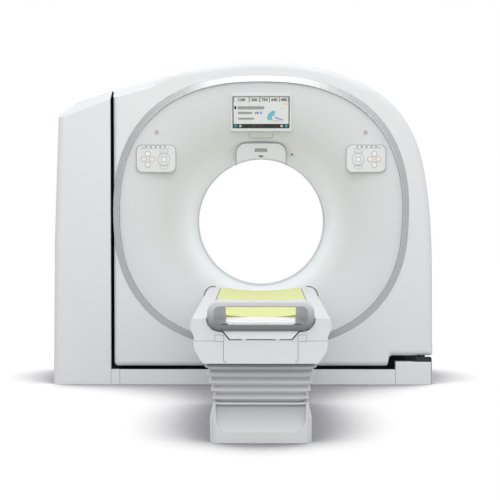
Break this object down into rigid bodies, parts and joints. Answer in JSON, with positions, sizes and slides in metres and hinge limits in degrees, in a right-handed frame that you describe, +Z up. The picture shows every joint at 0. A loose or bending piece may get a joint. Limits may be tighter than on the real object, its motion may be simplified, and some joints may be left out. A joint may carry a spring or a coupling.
{
  "type": "ct scanner",
  "caption": "CT scanner: tilting ring gantry with rotor inside, a broad side column and base, and a lifting patient table whose cradle slides into the bore.",
  "frame": {"origin": "on the floor straight under the isocentre, at the centre of the gantry's four anchor holes", "axes": "+Z up, +Y along the bore from the table's foot end to the rear of the gantry, +X across the gantry, away from the broad column"},
  "size_m": [2.171, 3.1, 1.838],
  "materials": {
    "cover": "satin",
    "funnel": "satin",
    "ring": "satin",
    "liner": "satin",
    "window_film": "gloss",
    "display_frame": "satin",
    "display_glass": "gloss",
    "pod": "satin",
    "button": "satin",
    "sensor": "gloss",
    "frame_steel": "matte",
    "frame_alloy": "matte",
    "race": "satin",
    "belt": "matte",
    "motor": "satin",
    "electronics": "matte",
    "tube_housing": "satin",
    "pulley": "satin",
    "bellows": "matte",
    "bellows_frame": "matte",
    "lift_steel": "satin",
    "cradle": "gloss",
    "mat": "satin",
    "handle": "satin"
  },
  "bodies": {
    "base": {"gantry_base_frame": "frame_steel", "column_front_cover": "cover", "column_rear_cover": "cover", "base_covers": "cover", "right_foot_covers": "cover", "tilt_bearings": "race", "tilt_gear_motor": "motor", "power_cabinet": "electronics", "table_base_plate": "frame_steel", "pedestal_cover": "cover", "lift_column_outer": "lift_steel", "lift_bellows": "bellows"},
    "lift_middle_stage": {"lift_column_middle": "lift_steel"},
    "table_lift_stage": {"lift_column_inner": "lift_steel", "bellows_upper_frame": "bellows_frame", "table_chassis": "frame_steel", "table_lower_cover": "cover", "table_top_cover": "cover", "cradle_rails": "lift_steel"},
    "cradle_carriage": {"cradle": "cradle", "mat": "mat", "cradle_handle": "handle"},
    "gantry_tilting_part": {"tilt_frame": "frame_alloy", "front_cover": "cover", "ring_trim": "ring", "front_funnel": "funnel", "bore_liner": "liner", "scan_window": "window_film", "rear_funnel": "funnel", "rear_cover": "cover", "arch_cover": "cover", "left_side_cover": "cover", "bottom_cover": "cover", "laser_unit_cover": "cover", "display_bezel": "display_frame", "display_screen": "display_glass", "left_pod": "pod", "right_pod": "pod", "motion_sensors": "sensor", "bearing_outer_race": "race", "drive_motor": "motor", "drive_belt": "belt"},
    "rotor": {"rotor_frame": "frame_alloy", "xray_tube_and_collimator": "tube_housing", "detector": "electronics", "high_voltage_generator": "electronics", "data_and_power_unit": "electronics", "slip_ring": "electronics", "bearing_inner_race": "race"},
    "pulley": {"motor_pulley": "pulley"},
    "left_pod_button_top_key": {"left_pod_button_top": "button"},
    "left_pod_button_outer_key": {"left_pod_button_outer": "button"},
    "left_pod_button_inner_key": {"left_pod_button_inner": "button"},
    "left_pod_button_low_key": {"left_pod_button_low": "button"},
    "left_pod_button_centre_key": {"left_pod_button_centre": "button"},
    "right_pod_button_top_key": {"right_pod_button_top": "button"},
    "right_pod_button_outer_key": {"right_pod_button_outer": "button"},
    "right_pod_button_inner_key": {"right_pod_button_inner": "button"},
    "right_pod_button_low_key": {"right_pod_button_low": "button"},
    "right_pod_button_centre_key": {"right_pod_button_centre": "button"}
  },
  "joints": [
    {"name": "gantry_tilt", "type": "hinge", "parent": "base", "child": "gantry_tilting_part", "pos_m": [0, 0, 0.92], "axis": [1, 0, 0], "range_deg": [-5, 20]},
    {"name": "rotor_spin", "type": "hinge", "parent": "gantry_tilting_part", "child": "rotor", "pos_m": [0, 0.15, 0.92], "axis": [0, 1, 0], "continuous": true},
    {"name": "pulley_spin", "type": "hinge", "parent": "gantry_tilting_part", "child": "pulley", "pos_m": [-0.56, 0.12, 0.36], "axis": [0, 1, 0], "continuous": true},
    {"name": "table_lift", "type": "slide", "parent": "base", "child": "table_lift_stage", "axis": [0, 0, 1], "range_m": [0, 0.42], "deforming": ["lift_bellows"]},
    {"name": "lift_middle", "type": "slide", "parent": "base", "child": "lift_middle_stage", "axis": [0, 0, 1], "range_m": [0, 0.21]},
    {"name": "cradle_travel", "type": "slide", "parent": "table_lift_stage", "child": "cradle_carriage", "axis": [0, 1, 0], "range_m": [0, 0.84]},
    {"name": "press_left_pod_top", "type": "slide", "parent": "gantry_tilting_part", "child": "left_pod_button_top_key", "axis": [0, 1, 0], "range_m": [0, 0.0015], "stiffness_N_per_m": 1200, "springref_m": -0.0008},
    {"name": "press_left_pod_outer", "type": "slide", "parent": "gantry_tilting_part", "child": "left_pod_button_outer_key", "axis": [0, 1, 0], "range_m": [0, 0.0015], "stiffness_N_per_m": 1200, "springref_m": -0.0008},
    {"name": "press_left_pod_inner", "type": "slide", "parent": "gantry_tilting_part", "child": "left_pod_button_inner_key", "axis": [0, 1, 0], "range_m": [0, 0.0015], "stiffness_N_per_m": 1200, "springref_m": -0.0008},
    {"name": "press_left_pod_low", "type": "slide", "parent": "gantry_tilting_part", "child": "left_pod_button_low_key", "axis": [0, 1, 0], "range_m": [0, 0.0015], "stiffness_N_per_m": 1200, "springref_m": -0.0008},
    {"name": "press_left_pod_centre", "type": "slide", "parent": "gantry_tilting_part", "child": "left_pod_button_centre_key", "axis": [0, 1, 0], "range_m": [0, 0.0015], "stiffness_N_per_m": 1200, "springref_m": -0.0008},
    {"name": "press_right_pod_top", "type": "slide", "parent": "gantry_tilting_part", "child": "right_pod_button_top_key", "axis": [0, 1, 0], "range_m": [0, 0.0015], "stiffness_N_per_m": 1200, "springref_m": -0.0008},
    {"name": "press_right_pod_outer", "type": "slide", "parent": "gantry_tilting_part", "child": "right_pod_button_outer_key", "axis": [0, 1, 0], "range_m": [0, 0.0015], "stiffness_N_per_m": 1200, "springref_m": -0.0008},
    {"name": "press_right_pod_inner", "type": "slide", "parent": "gantry_tilting_part", "child": "right_pod_button_inner_key", "axis": [0, 1, 0], "range_m": [0, 0.0015], "stiffness_N_per_m": 1200, "springref_m": -0.0008},
    {"name": "press_right_pod_low", "type": "slide", "parent": "gantry_tilting_part", "child": "right_pod_button_low_key", "axis": [0, 1, 0], "range_m": [0, 0.0015], "stiffness_N_per_m": 1200, "springref_m": -0.0008},
    {"name": "press_right_pod_centre", "type": "slide", "parent": "gantry_tilting_part", "child": "right_pod_button_centre_key", "axis": [0, 1, 0], "range_m": [0, 0.0015], "stiffness_N_per_m": 1200, "springref_m": -0.0008}
  ],
  "couplings": [
    {"joint": "pulley_spin", "follows": "rotor_spin", "ratio": 14.4},
    {"joint": "lift_middle", "follows": "table_lift", "ratio": 0.5},
    {"joint": "cradle_travel", "follows": "table_lift", "ratio": 2}
  ]
}
